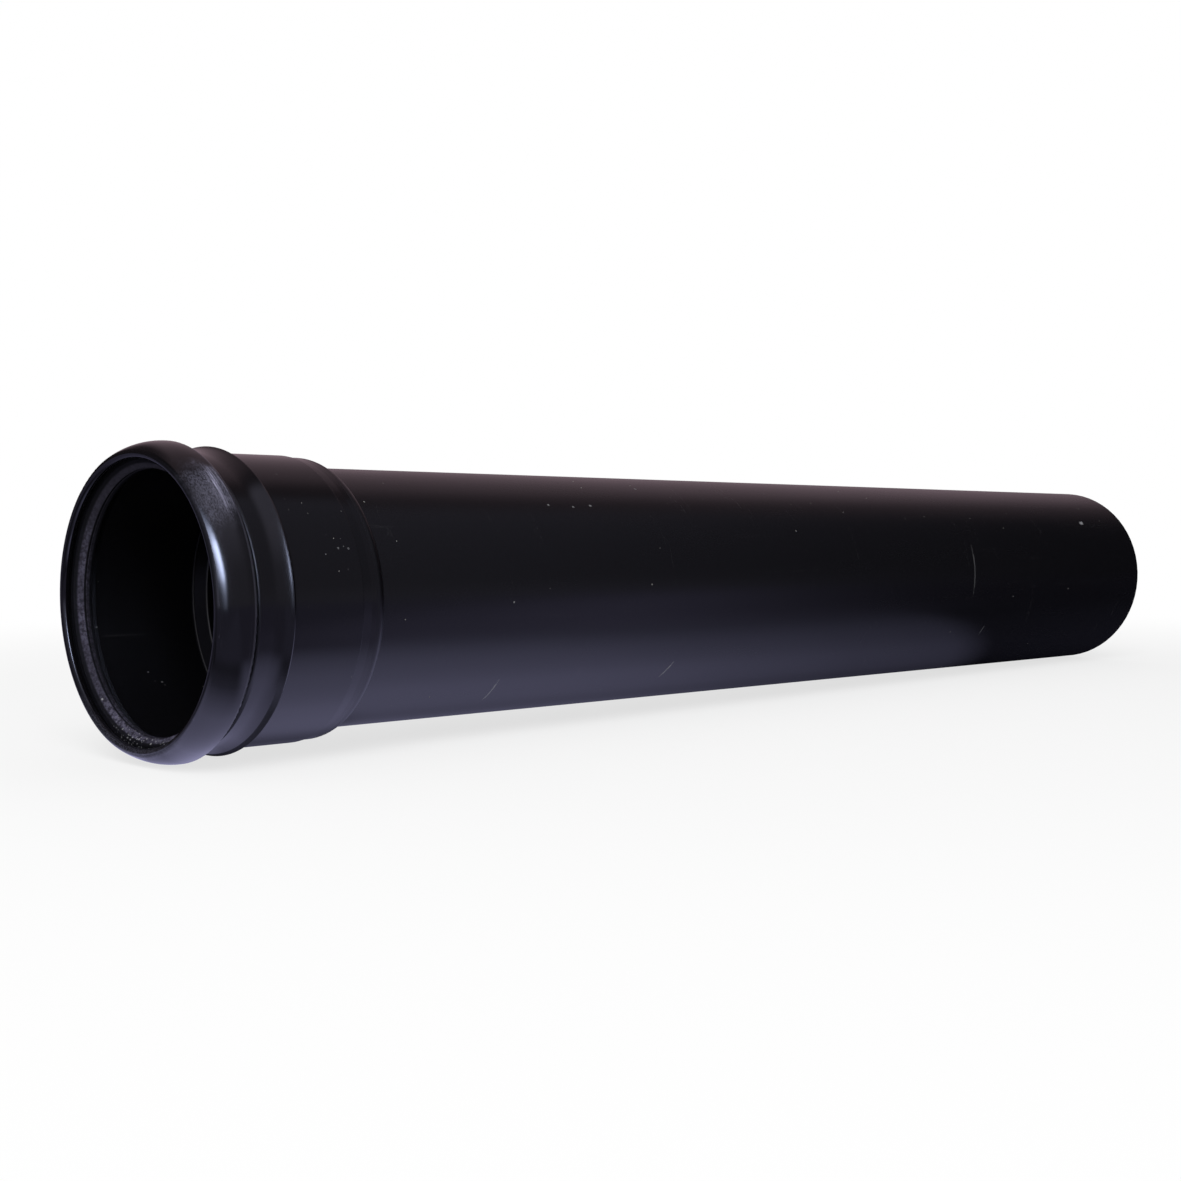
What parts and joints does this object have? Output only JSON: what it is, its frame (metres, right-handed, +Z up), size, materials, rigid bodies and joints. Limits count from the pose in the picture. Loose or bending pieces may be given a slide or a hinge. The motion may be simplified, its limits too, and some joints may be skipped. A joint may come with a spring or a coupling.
{
  "type": "drainage pipe with push-fit socket",
  "caption": "Straight black plastic drainage pipe with a welded push-fit socket, a snap cap and a rubber ring seal at one end and a plain spigot at the other.",
  "frame": {"origin": "on the floor under the middle of the pipe's length, as it lies at rest", "axes": "+X along the pipe from its socket towards its spigot end (the axis dips 0.72 degrees, because the cap is fatter than the tube), +Z up"},
  "size_m": [0.7049, 0.1274, 0.1274],
  "materials": {
    "pipe_plastic": "satin black, lightly scuffed",
    "socket_plastic": "satin black moulding",
    "cap_plastic": "polished black with rubbed scratches on the crown",
    "seal_rubber": "matt grey-black"
  },
  "bodies": {
    "root": {"pipe": "pipe_plastic", "socket_body": "socket_plastic", "seal_cap": "cap_plastic", "ring_seal": "seal_rubber"}
  },
  "joints": []
}
